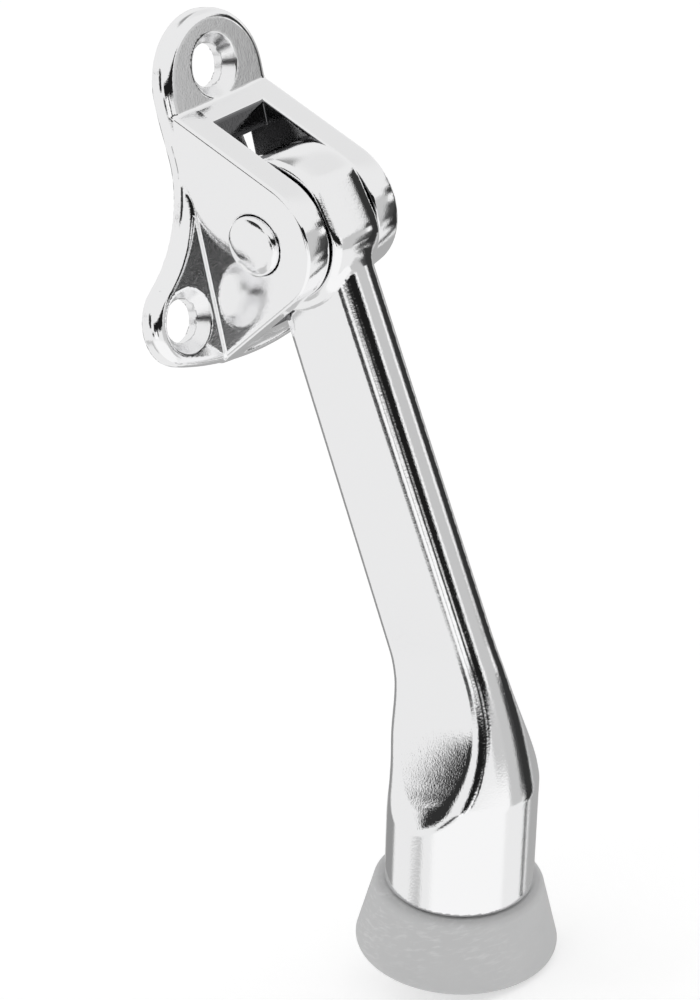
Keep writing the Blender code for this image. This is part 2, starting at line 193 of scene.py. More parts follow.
# Studio: how bright the surroundings are, and the cards in them. Each card has its brightness, its left and
# right edges in degrees of azimuth (0 in front of the door, positive to the right), its bottom and top edges
# in degrees of elevation, and how soft its edges are. Later cards stand in front of earlier ones.
STUDIO_LEVEL = 0.86
STUDIO_CARDS = (
    (0.97, -108, 22, -90, -24, 4),
    (0.34, 108, 150, 47, 75, 9),
    (0.80, 60, 108, 30, 60, 12),
    (0.56, -143, -124, -50, -23.2, 1.5),
    (0.30, -200, -178, -34, -4, 3),
    (0.30, 146, 200, -34, -4, 3),
    (0.42, 82, 142, -60, -3, 3),
    (0.12, 68, 76, -60, -33, 2),
    (0.57, 23, 50, -34, 2, 1.5),
    (0.04, -104, -85, -14.5, -7, 2),
    (1.0, -82, -45, -22, -5, 1.5),
    (0.35, -69.5, -66.5, -14, -6, 0.8),
    (0.012, -80, 18, -6, 13, 1.5),
    (0.012, -26, 18, -9.5, 2, 1),
    (0.05, -50, -39, -17.5, -4, 1),
    (0.60, 2, 25, -22, -10, 2),
    (1.0, 18, 23, -8, 8, 1),
    (0.07, 47, 60, -28, -10, 2.5),
    (0.06, 48, 60, -2, 6, 1.5),
    (0.035, 56, 79, -36, 13, 2),
    (1.0, 49.5, 54, -9, -2, 0.8),
    (0.03, -126, -107, 1.5, 8, 1),
    (0.03, -128, -107, 5, 12, 1),
    (0.03, -130, -107, 9, 16, 1),
    (0.03, -132.5, -108, 14, 22, 1),
    (0.03, -136, -112, 20.5, 27, 1),
)

# Meshes: grid steps, the grid's margin in steps, how far apart slopes are measured, how often the points are
# moved onto the surface and the least squared slope that such a move reckons with. The bar's and the flats'
# fields rise a little faster than distance does, so both are scaled down.
BRACKET_STEP = 0.3
LEVER_STEP = 0.3
SPRING_STEP = 0.2
GRID_MARGIN = 2.5
SLOPE_REACH = 0.01
SETTLE_PASSES = 4
LEAST_SLOPE = 0.05
BAR_SLOPE = 0.98
FLAT_SLOPE = 0.95

# Materials: colours, how deep the relief is in millimetres, the heights between which the lever's grain
# grows, and how far past the bracket's edges the masks on it reach.
CHROME = (0.95, 0.95, 0.955, 1)
# The darker chrome colour below paints shade on the bracket between the cheeks.
SHADED_CHROME = (0.2, 0.2, 0.205, 1)
STEEL = (0.5, 0.5, 0.5, 1)
RUBBER_DARK = (0.56, 0.562, 0.565, 1)
RUBBER_LIGHT = (0.61, 0.611, 0.612, 1)
RUBBER_SCUFFED = (0.8, 0.8, 0.8, 1)
DRILLED_ROUGHNESS = 0.2
PEEL_DEPTH = 0.006
GRAIN_DEPTH = 0.008
PIT_DEPTH = 0.009
STRIP_LINE_DEPTH = 0.01
RUBBER_GRAIN_DEPTH = 0.02
PIT_TOP_Z = -74.0
PIT_FULL_Z = -86.0
HOLE_MARGIN = 0.05
SLOT_MARGIN = 0.08
WEB_MARGIN = 0.1
STOP_MARGIN = 1.0
FLOOR_GAP = 0.5


# ----------------------------------------------------------------------------------- distance fields


def rounded_max(a, b, radius):
    """Intersection of two solids with a round outer edge."""
    edge = np.hypot(np.maximum(a + radius, 0), np.maximum(b + radius, 0))
    return np.minimum(-radius, np.maximum(a, b)) + edge


def rounded_min(a, b, radius):
    """Union of two solids with a fillet in the corner between them."""
    fillet = np.hypot(np.maximum(radius - a, 0), np.maximum(radius - b, 0))
    return np.maximum(radius, np.minimum(a, b)) - fillet


def flange_outline(x, z):
    """Distance to the flange's outline: a top lobe, straight sides, waists, lower lobes, a round bottom."""
    x = np.abs(x)
    waist_x = FLANGE_HALF_WIDTH + WAIST_RADIUS
    bottom_z = LOW_HOLE_Z + math.sqrt((BOTTOM_RADIUS - LOW_LOBE_RADIUS) ** 2 - LOW_HOLE_X**2)
    top_lobe = np.hypot(x, z - TOP_LOBE_Z) - FLANGE_HALF_WIDTH
    waist = WAIST_RADIUS - np.hypot(x - waist_x, z - WAIST_Z)
    bottom = np.hypot(x, z - bottom_z) - BOTTOM_RADIUS
    lobe = np.hypot(x - LOW_HOLE_X, z - LOW_HOLE_Z) - LOW_LOBE_RADIUS
    to_waist = math.atan2(WAIST_Z - LOW_HOLE_Z, waist_x - LOW_HOLE_X)
    to_bottom = math.atan2(LOW_HOLE_Z - bottom_z, LOW_HOLE_X)
    angle = np.arctan2(z - LOW_HOLE_Z, x - LOW_HOLE_X)
    side = np.where(z > WAIST_Z, x - FLANGE_HALF_WIDTH, waist)
    body = np.where(z > TOP_LOBE_Z, top_lobe, np.maximum(side, bottom))
    return np.where((angle < to_waist) & (angle > to_bottom) & (z < WAIST_Z), lobe, body)


def flange(x, y, z):
    """The flange, a little wider towards its upper lobe, with a round front edge and a sharper back edge."""
    high = np.clip((z - SPREAD_START_Z) / (SPREAD_END_Z - SPREAD_START_Z), 0, 1)
    side = flange_outline(x, z) - FLANGE_SPREAD * high**2 * (3 - 2 * high)
    return rounded_max(rounded_max(side, -FLANGE_THICKNESS - y, FLANGE_EDGE), y, BACK_EDGE)


def cheek_outline(y, z):
    """Distance to the cheeks' side view: a round nose about the pivot, two straight edges to the flange."""
    y, z = y - PIVOT_Y, z - PIVOT_Z
    top = z * math.cos(TOP_SLOPE) - y * math.sin(TOP_SLOPE) - NOSE_RADIUS
    bottom = -z * math.cos(BOTTOM_SLOPE) - y * math.sin(BOTTOM_SLOPE) - NOSE_RADIUS
    ahead_of_top = y * math.cos(TOP_SLOPE) + z * math.sin(TOP_SLOPE) < 0
    ahead_of_bottom = y * math.cos(BOTTOM_SLOPE) - z * math.sin(BOTTOM_SLOPE) < 0
    return np.where(ahead_of_top & ahead_of_bottom, np.hypot(y, z) - NOSE_RADIUS, np.maximum(top, bottom))


def slot(x, y, z):
    """The space between the cheeks, with the window through the flange behind the hub."""
    middle, half = (STOP_TOP_Z + WEB_UNDERSIDE_Z) / 2, (WEB_UNDERSIDE_Z - STOP_TOP_Z) / 2
    ahead_of_web = np.maximum(y - WEB_FRONT_Y, middle - z)
    ahead_of_stop = np.maximum(y - STOP_FRONT_Y, z - middle)
    window = np.abs(z - middle) - half
    open_space = np.minimum(np.minimum(ahead_of_web, ahead_of_stop), window)
    return np.maximum(np.abs(x) - SLOT_HALF_WIDTH, open_space)


def recess(x, y, z):
    """The pocket in the bracket's back that holds the spring."""
    middle, half = (RECESS_TOP_Z + RECESS_BOTTOM_Z) / 2, (RECESS_TOP_Z - RECESS_BOTTOM_Z) / 2
    outline = np.maximum(np.abs(x) - RECESS_HALF_WIDTH, np.abs(z - middle) - half)
    return np.maximum(outline, -RECESS_DEPTH - y)


def screw_hole(x, y, z, hole_x, hole_z):
    """A countersunk hole through the flange."""
    radius = np.hypot(x - hole_x, z - hole_z)
    depth = np.maximum(y + FLANGE_THICKNESS, 0)
    cone = radius - COUNTERSINK_RADIUS + depth * math.tan(COUNTERSINK_HALF_ANGLE)
    return np.minimum(radius - SCREW_HOLE_RADIUS, cone * math.cos(COUNTERSINK_HALF_ANGLE))


def bracket(x, y, z):
    """The bracket's casting: the flange with two crowned cheeks, less the slot, the recess and the holes."""
    middle, half = (CHEEK_HALF_WIDTH + SLOT_HALF_WIDTH) / 2, (CHEEK_HALF_WIDTH - SLOT_HALF_WIDTH) / 2
    crown = CHEEK_CROWN * np.clip((np.abs(x) - middle) / half, -1, None) ** 2
    body = rounded_max(cheek_outline(y, z) + crown, np.abs(x) - CHEEK_HALF_WIDTH, CHEEK_EDGE)
    body = np.maximum(body, y + FLANGE_THICKNESS / 2)
    solid = rounded_min(flange(x, y, z), body, CHEEK_FILLET)
    solid = rounded_max(solid, -slot(x, y, z), SLOT_EDGE)
    solid = rounded_max(solid, -recess(x, y, z), RECESS_EDGE)
    pin_hole = np.hypot(y - PIVOT_Y, z - PIVOT_Z) - PIN_RADIUS - PIN_CLEARANCE / 2
    solid = rounded_max(solid, -pin_hole, PIN_HOLE_EDGE)
    for hole_x, hole_z in ((0, TOP_HOLE_Z), (-LOW_HOLE_X, LOW_HOLE_Z), (LOW_HOLE_X, LOW_HOLE_Z)):
        solid = rounded_max(solid, -screw_hole(x, y, z, hole_x, hole_z), SCREW_HOLE_EDGE)
    return solid


def bar_axis():
    """The bar's centreline in side view: where the bend starts and ends, and the bend's centre."""
    apart = FOOT_END_Y - ARM_START_Y - FOOT_END_Z * math.tan(FOOT_LEAN)
    corner_z = apart / (math.tan(ARM_LEAN) - math.tan(FOOT_LEAN))
    start_z = corner_z + BEND_RADIUS * math.tan((ARM_LEAN - FOOT_LEAN) / 2) * math.cos(ARM_LEAN)
    start = np.array([ARM_START_Y + start_z * math.tan(ARM_LEAN), start_z])
    behind = np.array([math.cos(ARM_LEAN), -math.sin(ARM_LEAN)])
    centre = start + behind * BEND_RADIUS
    foot_behind = np.array([math.cos(FOOT_LEAN), -math.sin(FOOT_LEAN)])
    return start, centre, centre - foot_behind * BEND_RADIUS


def from_axis(y, z):
    """How far up the bar's centreline each point is from the foot's end, and how far behind that line."""
    start, centre, end = bar_axis()
    arm_down = -(y - start[0]) * math.sin(ARM_LEAN) - (z - start[1]) * math.cos(ARM_LEAN)
    arm_behind = (y - start[0]) * math.cos(ARM_LEAN) - (z - start[1]) * math.sin(ARM_LEAN)
    foot_down = -(y - end[0]) * math.sin(FOOT_LEAN) - (z - end[1]) * math.cos(FOOT_LEAN)
    foot_behind = (y - end[0]) * math.cos(FOOT_LEAN) - (z - end[1]) * math.sin(FOOT_LEAN)
    turn = np.arctan2(z - centre[1], centre[0] - y) - FOOT_LEAN
    foot_length = math.dist(end, (FOOT_END_Y, FOOT_END_Z))
    bend_length = BEND_RADIUS * (ARM_LEAN - FOOT_LEAN)
    bend_behind = BEND_RADIUS - np.hypot(y - centre[0], z - centre[1])
    bend_up = foot_length + turn * BEND_RADIUS
    up = np.where(arm_down < 0, foot_length + bend_length - arm_down, bend_up)
    up = np.where(foot_down > 0, foot_length - foot_down, up)
    behind = np.where(arm_down < 0, arm_behind, np.where(foot_down > 0, foot_behind, bend_behind))
    return up, behind


def flat_half_width(z):
    """Half the width between the milled flats, which ease into an arc and run out over the foot."""
    ease = RUN_OUT_EASE / 2
    drop = np.clip(FLAT_STRAIGHT_END_Z + ease - z, 0, RUN_OUT_RADIUS * RUN_OUT_REACH + ease)
    eased = drop**3 / (6 * RUN_OUT_RADIUS * RUN_OUT_EASE)
    arc_start = RUN_OUT_EASE**2 / (6 * RUN_OUT_RADIUS) + math.sqrt(RUN_OUT_RADIUS**2 - ease**2)
    bent = arc_start - np.sqrt(RUN_OUT_RADIUS**2 - (drop - ease) ** 2)
    return FLAT_HALF_WIDTH + np.where(drop < RUN_OUT_EASE, eased, bent)


def eased_step(value, soft):
    """The value where it is above zero, and zero below, with a smooth turn from one to the other."""
    return np.clip(value + soft, 0, 2 * soft) ** 2 / (4 * soft) + np.maximum(value - soft, 0)


def bar(x, y, z):
    """The round bar: the tapered arm, the flare at its bend, and the foot, cut off square to its axis."""
    up, behind = from_axis(y, z)
    rear = np.clip(behind / FOOT_RADIUS, 0, 1)
    soft = FLARE_SOFT_FRONT + (FLARE_SOFT_BACK - FLARE_SOFT_FRONT) * rear
    share = (FLARE_START - up) / (FLARE_START - FLARE_END)
    share = eased_step(share, FLARE_SOFT_START) - eased_step(share - 1, soft)
    arm_radius = ARM_LOW_RADIUS - ARM_TAPER * np.maximum(up - FLARE_START, 0)
    flare = share * (FLARE_EASE + (1 - FLARE_EASE) * share)
    radius = arm_radius + (FOOT_RADIUS - ARM_LOW_RADIUS) * flare
    fill = BACK_FILL * np.clip(1 - ((up - BACK_FILL_UP) / BACK_FILL_REACH) ** 2, 0, 1) ** 2
    side = (np.hypot(x, behind - fill) - radius - fill) * BAR_SLOPE
    return rounded_max(side, -up, FOOT_EDGE)


def lever(x, y, z):
    """The lever's casting: the crowned hub with its two flats, and the bar milled flat on both sides."""
    y, z = y - PIVOT_Y, z - PIVOT_Z
    crown = (y - z * math.tan(ARM_LEAN)) ** 2 / (2 * FLAT_CROWN)
    flats = (np.abs(x) + crown - flat_half_width(z)) * FLAT_SLOPE
    arm = rounded_max(bar(x, y, z), flats, ARM_EDGE)
    arm = np.maximum(arm, z)
    reach = np.hypot(y, z)
    fall = HUB_CROWN * np.abs(x / HUB_HALF_WIDTH) ** 3
    hub = rounded_max(reach - HUB_RADIUS + fall, np.abs(x) - HUB_HALF_WIDTH, HUB_EDGE)
    hub = rounded_max(hub, y - DOWN_FLAT, HUB_FLAT_EDGE)
    towards_flat = y * math.cos(UP_ANGLE) + z * math.sin(UP_ANGLE)
    hub = rounded_max(hub, towards_flat - UP_FLAT + fall, HUB_FLAT_EDGE)
    solid = rounded_min(hub, arm, HUB_FILLET)
    return rounded_max(solid, PIN_RADIUS + PIN_CLEARANCE - reach, PIN_HOLE_EDGE)


def spring(x, y, z):
    """A leaf with two flat ends and a crest bowed towards the hub."""
    rise = SPRING_SEAT_Y - SPRING_CREST_Y
    radius = (SPRING_HALF_SPAN**2 + rise**2) / (2 * rise)
    along = z - SPRING_MIDDLE_Z
    bow = SPRING_CREST_Y + radius - np.sqrt(radius**2 - along**2)
    middle_y = rounded_min(bow, SPRING_SEAT_Y, SPRING_KNEE)
    thickness = np.abs(y - middle_y) - SPRING_THICKNESS / 2
    leaf = rounded_max(thickness, np.abs(x) - SPRING_HALF_WIDTH, SPRING_EDGE)
    return rounded_max(leaf, np.abs(along) - SPRING_HALF_LENGTH, SPRING_EDGE)


# ---------------------------------------------------------------------------------- fields to meshes


def gradient(field, points):
    """The field's slope at each point, by central differences."""
    slopes = []
    for axis in np.eye(3) * SLOPE_REACH:
        slopes.append((field(*(points + axis).T) - field(*(points - axis).T)) / (2 * SLOPE_REACH))
    return np.stack(slopes, axis=1)


def crossing_points(values, axes, step):
    """One point for each grid cell that the surface passes through, at the mean of its edges' crossings."""
    inside = values < 0
    shape = tuple(n - 1 for n in values.shape)
    total = np.zeros(shape + (3,))
    count = np.zeros(shape)
    for axis in range(3):
        near = [slice(None)] * 3
        far = [slice(None)] * 3
        near[axis], far[axis] = slice(0, -1), slice(1, None)
        near, far = tuple(near), tuple(far)
        crossed = inside[near] != inside[far]
        gap = np.where(crossed, values[near] - values[far], 1.0)
        share = np.where(crossed, values[near] / gap, 0)
        others = [k for k in range(3) if k != axis]
        for first in (0, 1):
            for second in (0, 1):
                cut = [slice(None)] * 3
                cut[others[0]] = slice(first, first + shape[others[0]])
                cut[others[1]] = slice(second, second + shape[others[1]])
                cut = tuple(cut)
                hit = crossed[cut]
                count += hit
                total[..., axis] += share[cut]
                total[..., others[0]] += first * hit
                total[..., others[1]] += second * hit
    cells = np.argwhere(count > 0)
    index = np.full(shape, -1)
    index[tuple(cells.T)] = np.arange(len(cells))
    offset = total[tuple(cells.T)] / count[tuple(cells.T)][:, None]
    low = np.array([axis[0] for axis in axes])
    return low + (cells + offset) * step, index


def crossing_quads(values, index):
    """A quad round each grid edge that the surface crosses, facing out."""
    inside = values < 0
    quads = []
    for axis in range(3):
        first, second = (axis + 1) % 3, (axis + 2) % 3
        core = [slice(1, -1)] * 3
        core[axis] = slice(0, -1)
        ahead = list(core)
        ahead[axis] = slice(1, None)
        here, there = inside[tuple(core)], inside[tuple(ahead)]
        edges = np.argwhere(here != there)
        outward = here[tuple(edges.T)]
        base = edges.copy()
        base[:, first] += 1
        base[:, second] += 1
        corners = []
        for back_first, back_second in ((1, 1), (0, 1), (0, 0), (1, 0)):
            cell = base.copy()
            cell[:, first] -= back_first
            cell[:, second] -= back_second
            corners.append(index[tuple(cell.T)])
        quad = np.stack(corners, axis=1)
        quads.append(np.where(outward[:, None], quad, quad[:, ::-1]))
    return np.concatenate(quads)


def mesh_of_field(name, field, low, high, step):
    """The field's surface as a fine quad mesh whose normals are the field's own."""
    margin = GRID_MARGIN * step
    axes = [np.arange(a - margin, b + margin, step) for a, b in zip(low, high)]
    values = field(*np.meshgrid(*axes, indexing="ij"))
    points, index = crossing_points(values, axes, step)
    quads = crossing_quads(values, index)
    for _ in range(SETTLE_PASSES):
        slope = gradient(field, points)
        size = np.maximum((slope**2).sum(axis=1), LEAST_SLOPE)
        move = -slope * (field(*points.T) / size)[:, None]
        points = points + np.clip(move, -step / 2, step / 2)
    normals = gradient(field, points)
    normals /= np.maximum(np.linalg.norm(normals, axis=1), 1e-9)[:, None]
    mesh = bpy.data.meshes.new(name)
    mesh.vertices.add(len(points))
    mesh.vertices.foreach_set("co", (points * MM).ravel())
    mesh.loops.add(quads.size)
    mesh.loops.foreach_set("vertex_index", quads.ravel())
    mesh.polygons.add(len(quads))
    mesh.polygons.foreach_set("loop_start", np.arange(0, quads.size, 4))
    mesh.update(calc_edges=True)
    mesh.shade_smooth()
    mesh.normals_split_custom_set_from_vertices(normals.tolist())
    obj = bpy.data.objects.new(name, mesh)
    bpy.context.scene.collection.objects.link(obj)
    return obj


def box_mm(node):
    """The node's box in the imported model, in millimetres."""
    low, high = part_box(node)
    return np.array(low) / MM, np.array(high) / MM


# ------------------------------------------------------------------------------------- turned pieces


def arc(centre, radius, start, end, steps):
    """Points along an arc, ends included."""
    angles = [start + (end - start) * i / steps for i in range(steps + 1)]
    return [(centre[0] + radius * math.cos(a), centre[1] + radius * math.sin(a)) for a in angles]


def turned(name, profile, matrix, steps=160):
    """A profile of (radius, height) points in millimetres, turned round Z and then placed."""
    work = bmesh.new()
    line = [work.verts.new((radius * MM, 0, height * MM)) for radius, height in profile]
    edges = [work.edges.new(pair) for pair in zip(line, line[1:])]
    bmesh.ops.spin(
        work, geom=line + edges, cent=(0, 0, 0), axis=(0, 0, 1), dvec=(0, 0, 0), angle=2 * math.pi,
        steps=steps, use_merge=True,
    )
    bmesh.ops.remove_doubles(work, verts=work.verts, dist=1e-7)
    bmesh.ops.recalc_face_normals(work, faces=work.faces)
    work.transform(matrix)
    mesh = bpy.data.meshes.new(name)
    work.to_mesh(mesh)
    work.free()
    mesh.shade_smooth()
    mesh.set_sharp_from_angle(angle=math.radians(40))
    obj = bpy.data.objects.new(name, mesh)
    bpy.context.scene.collection.objects.link(obj)
    return obj


def make_pin():
    """A pin with a nearly flat, bevelled end on each side."""
    end = CHEEK_HALF_WIDTH + PIN_PROUD
    dome = [(PIN_RADIUS * PIN_DOME_SHARE * i / 6, end - PIN_DOME * (i / 6) ** 2) for i in range(7)]
    rim = arc((PIN_RADIUS - PIN_RIM, end - PIN_RIM - PIN_BEVEL), PIN_RIM, math.radians(70), 0, 8)
    half = dome + rim + [(PIN_RADIUS, PIN_MIDDLE)]
    profile = half + [(radius, -height) for radius, height in reversed(half)]
    across = Matrix.Translation(HINGE * MM) @ Matrix.Rotation(math.radians(90), 4, "Y")
    return turned("chrome_pin", profile, across)


def foot_matrix():
    """From the foot's own axis, with its end at the origin, to where the foot hangs at rest."""
    shift = Matrix.Translation((0, (PIVOT_Y + FOOT_END_Y) * MM, (PIVOT_Z + FOOT_END_Z) * MM))
    return shift @ Matrix.Rotation(-FOOT_LEAN, 4, "X")


def make_tip():
    """The conical rubber foot, closed below and open round the stud above."""
    top = -TIP_GAP
    shoulder_centre = (TIP_SHOULDER_RADIUS - TIP_SHOULDER, top - TIP_SHOULDER)
    shoulder = arc(shoulder_centre, TIP_SHOULDER, math.radians(90), TIP_FLANK, 8)
    edge_centre = (TIP_WIDEST_RADIUS - TIP_EDGE, TIP_EDGE - TIP_HEIGHT)
    edge = arc(edge_centre, TIP_EDGE, TIP_FLANK, math.radians(-90), 8)
    side = []
    for i in range(1, 12):
        t = i / 12
        side.append(tuple(a + (b - a) * t for a, b in zip(shoulder[-1], edge[0])))
    rings = [(radius, -TIP_HEIGHT) for radius in TIP_UNDERSIDE_RADII]
    socket = [(0, -SOCKET_DEPTH), (SOCKET_RADIUS, -SOCKET_DEPTH)]
    mouth = [(SOCKET_RADIUS, top - SOCKET_EDGE), (SOCKET_RADIUS + SOCKET_EDGE, top)]
    profile = socket + mouth + [(TIP_TOP_RADIUS, top)] + shoulder + side + edge + rings
    return turned("grey_rubber_tip", profile, foot_matrix())


# ----------------------------------------------------------------------------------------- materials


def new_material(name):
    material = bpy.data.materials.new(name)
    material.use_nodes = True
    nodes = material.node_tree.nodes
    return material, nodes, material.node_tree.links, nodes["Principled BSDF"]


def noise(nodes, links, coordinates, scale, detail, roughness=0.5):
    node = nodes.new("ShaderNodeTexNoise")
    node.inputs["Scale"].default_value = scale
    node.inputs["Detail"].default_value = detail
    node.inputs["Roughness"].default_value = roughness
    links.new(coordinates, node.inputs["Vector"])
    return node.outputs["Fac"]


def bump(nodes, links, height, distance, strength=1.0, below=None):
    node = nodes.new("ShaderNodeBump")
    node.inputs["Strength"].default_value = strength
    node.inputs["Distance"].default_value = distance
    links.new(height, node.inputs["Height"])
    if below is not None:
        links.new(below, node.inputs["Normal"])
    return node.outputs["Normal"]


def ramp(nodes, links, value, low, high, low_out, high_out):
    node = nodes.new("ShaderNodeMapRange")
    node.inputs["From Min"].default_value = low
    node.inputs["From Max"].default_value = high
    node.inputs["To Min"].default_value = low_out
    node.inputs["To Max"].default_value = high_out
    links.new(value, node.inputs["Value"])
    return node.outputs["Result"]


def blend_colours(nodes, links, share, first, second):
    """The first colour where the share is 0, the second where it is 1. The first may be a socket."""
    node = nodes.new("ShaderNodeMix")
    node.data_type = "RGBA"
    if isinstance(first, tuple):
        node.inputs[6].default_value = first
    else:
        links.new(first, node.inputs[6])
    node.inputs[7].default_value = second
    links.new(share, node.inputs[0])
    return node.outputs[2]


def separated(nodes, links, place):
    """The X, Y and Z sockets of a position."""
    node = nodes.new("ShaderNodeSeparateXYZ")
    links.new(place, node.inputs[0])
    return node.outputs["X"], node.outputs["Y"], node.outputs["Z"]


def chrome_material(name):
    """Bright chrome plate over a polished casting, with a fine orange peel and slightly uneven polish."""
    material, nodes, links, shader = new_material(name)
    place = nodes.new("ShaderNodeTexCoord").outputs["Object"]
    shader.inputs["Base Color"].default_value = CHROME
    shader.inputs["Metallic"].default_value = 1.0
    polish = noise(nodes, links, place, 120, 3)
    links.new(ramp(nodes, links, polish, 0.3, 0.7, 0.015, 0.05), shader.inputs["Roughness"])
    peel = bump(nodes, links, noise(nodes, links, place, 900, 2), PEEL_DEPTH * MM)
    grain = bump(nodes, links, noise(nodes, links, place, 4200, 3, 0.6), GRAIN_DEPTH * MM, below=peel)
    links.new(grain, shader.inputs["Normal"])
    return material


def lever_material():
    """The same chrome, with a coarser grain over the foot, where the casting was hardest to polish."""
    material = chrome_material("chrome_plate_lever")
    nodes, links = material.node_tree.nodes, material.node_tree.links
    shader = nodes["Principled BSDF"]
    place = nodes["Texture Coordinate"].outputs["Object"]
    _, _, height = separated(nodes, links, place)
    smooth = shader.inputs["Normal"].links[0].from_socket
    pits = bump(nodes, links, noise(nodes, links, place, 3600, 2, 0.6), PIT_DEPTH * MM, below=smooth)
    low = ramp(nodes, links, height, PIT_TOP_Z * MM, PIT_FULL_Z * MM, 0.05, 1)
    links.new(low, pits.node.inputs["Strength"])
    links.new(pits, shader.inputs["Normal"])
    return material


def less_than(nodes, links, value, limit):
    """1 where the value, in metres, is below the limit, in millimetres."""
    return math_node(nodes, links, "LESS_THAN", value, limit * MM)


def near_hole(nodes, links, across, height):
    """1 inside the countersinks, 0 elsewhere."""
    limit = (COUNTERSINK_RADIUS + HOLE_MARGIN) * MM
    masks = []
    for hole_x, hole_z in ((0, TOP_HOLE_Z), (LOW_HOLE_X, LOW_HOLE_Z)):
        aside = math_node(nodes, links, "SUBTRACT", across, hole_x * MM)
        above = math_node(nodes, links, "SUBTRACT", height, hole_z * MM)
        aside_squared = math_node(nodes, links, "MULTIPLY", aside, aside)
        above_squared = math_node(nodes, links, "MULTIPLY", above, above)
        reach_squared = math_node(nodes, links, "ADD", aside_squared, above_squared)
        masks.append(math_node(nodes, links, "LESS_THAN", reach_squared, limit**2))
    return math_node(nodes, links, "MAXIMUM", *masks)


def shade_between_cheeks(nodes, links, across, depth, height):
    """1 on the walls of the slot and under the sloped bridge, where shade is painted, 0 elsewhere."""
    inside = less_than(nodes, links, across, SLOT_HALF_WIDTH + SLOT_MARGIN)
    ahead = less_than(nodes, links, depth, WEB_FRONT_Y + WEB_MARGIN)
    under = less_than(nodes, links, height, WEB_UNDERSIDE_Z + WEB_MARGIN)
    over = math_node(nodes, links, "GREATER_THAN", height, (STOP_TOP_Z - STOP_MARGIN) * MM)
    inner = math_node(nodes, links, "MULTIPLY", inside, over)
    return math_node(nodes, links, "MULTIPLY", inner, math_node(nodes, links, "MAXIMUM", ahead, under))


def bracket_material():
    """The same chrome, with shade painted between the cheeks as a darker base colour, and satin in the screw
    holes.
    """
    material = chrome_material("chrome_plate_bracket")
    nodes, links = material.node_tree.nodes, material.node_tree.links
    shader = nodes["Principled BSDF"]
    sideways, depth, height = separated(nodes, links, nodes["Texture Coordinate"].outputs["Object"])
    across = math_node(nodes, links, "ABSOLUTE", sideways)
    painted_shade = shade_between_cheeks(nodes, links, across, depth, height)
    # Painted shade: the chrome's base colour turns dark between the cheeks and under the bridge.
    links.new(blend_colours(nodes, links, painted_shade, CHROME, SHADED_CHROME), shader.inputs["Base Color"])
    polish = shader.inputs["Roughness"].links[0].from_socket
    drilled = nodes.new("ShaderNodeMix")
    links.new(near_hole(nodes, links, across, height), drilled.inputs["Factor"])
    links.new(polish, drilled.inputs[2])
    drilled.inputs[3].default_value = DRILLED_ROUGHNESS
    links.new(drilled.outputs[0], shader.inputs["Roughness"])
    return material


def steel_material():
    """Rolled spring strip, with fine lines along its length."""
    material, nodes, links, shader = new_material("spring_strip")
    place = nodes.new("ShaderNodeTexCoord").outputs["Object"]
    stretch = nodes.new("ShaderNodeMapping")
    stretch.inputs["Scale"].default_value = (1, 1, 0.05)
    links.new(place, stretch.inputs["Vector"])
    lines = noise(nodes, links, stretch.outputs["Vector"], 4000, 3)
    shader.inputs["Base Color"].default_value = STEEL
    shader.inputs["Metallic"].default_value = 1.0
    links.new(ramp(nodes, links, lines, 0.3, 0.7, 0.2, 0.4), shader.inputs["Roughness"])
    links.new(bump(nodes, links, lines, STRIP_LINE_DEPTH * MM), shader.inputs["Normal"])
    return material


def scuffs(nodes, links, place):
    """Short pale streaks in patches, mostly on one flank."""
    stretch = nodes.new("ShaderNodeMapping")
    stretch.inputs["Rotation"].default_value = (0, 0.35, 0)
    stretch.inputs["Scale"].default_value = (0.25, 0.25, 1)
    links.new(place, stretch.inputs["Vector"])
    streaks = noise(nodes, links, stretch.outputs["Vector"], 2300, 4, 0.6)
    patches = noise(nodes, links, place, 75, 2)
    sideways, _, _ = separated(nodes, links, place)
    flank = ramp(nodes, links, sideways, 4 * MM, -9 * MM, 0.12, 1)
    worn = math_node(nodes, links, "MULTIPLY", ramp(nodes, links, patches, 0.45, 0.62, 0, 0.4), flank)
    return math_node(nodes, links, "MULTIPLY", ramp(nodes, links, streaks, 0.5, 0.7, 0, 1), worn)


def rubber_material():
    """Grey moulded rubber with a fine matte grain and faint chalky scuffs."""
    material, nodes, links, shader = new_material("grey_rubber")
    place = nodes.new("ShaderNodeTexCoord").outputs["Object"]
    mottle = noise(nodes, links, place, 160, 4)
    base = blend_colours(nodes, links, mottle, RUBBER_DARK, RUBBER_LIGHT)
    worn = blend_colours(nodes, links, scuffs(nodes, links, place), base, RUBBER_SCUFFED)
    links.new(worn, shader.inputs["Base Color"])
    shader.inputs["Roughness"].default_value = 0.62
    grain = noise(nodes, links, place, 2600, 3)
    links.new(bump(nodes, links, grain, RUBBER_GRAIN_DEPTH * MM), shader.inputs["Normal"])
    return material


def pale_floor_material():
    """A plain pale floor that glows a little, so it stays close to white."""
    material, nodes, links, shader = new_material("pale_floor")
    shader.inputs["Base Color"].default_value = (0.9, 0.9, 0.9, 1)
    shader.inputs["Emission Color"].default_value = (1, 1, 1, 1)
    shader.inputs["Emission Strength"].default_value = 0.3
    shader.inputs["Roughness"].default_value = 1.0
    shader.inputs["Specular IOR Level"].default_value = 0.0
    return material


# --------------------------------------------------------------------------------- camera and studio


